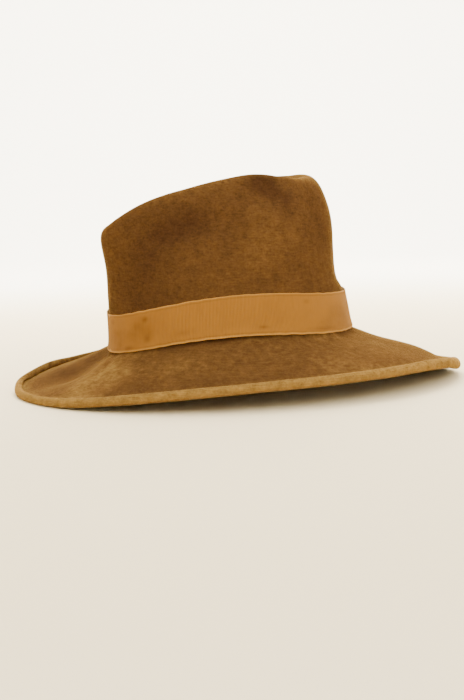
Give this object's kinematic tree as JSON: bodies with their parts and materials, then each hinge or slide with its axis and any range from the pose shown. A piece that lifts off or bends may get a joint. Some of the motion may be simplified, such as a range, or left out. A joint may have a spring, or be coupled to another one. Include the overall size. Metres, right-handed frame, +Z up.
{
  "type": "fur felt fedora hat",
  "caption": "Soft brown felt hat with a creased, pinched crown, a wide brim with a rolled edge and a plain ribbon round the crown, resting on its brim.",
  "frame": {"origin": "on the table under the middle of the hat's bounding box", "axes": "+Z up, -Y to the front of the hat, +X to the wearer's left"},
  "size_m": [0.3104, 0.3718, 0.1695],
  "materials": {
    "felt": "napped fur felt",
    "ribbon": "ribbed grosgrain"
  },
  "bodies": {
    "root": {"felt_body": "felt", "hat_band": "ribbon"}
  },
  "joints": []
}
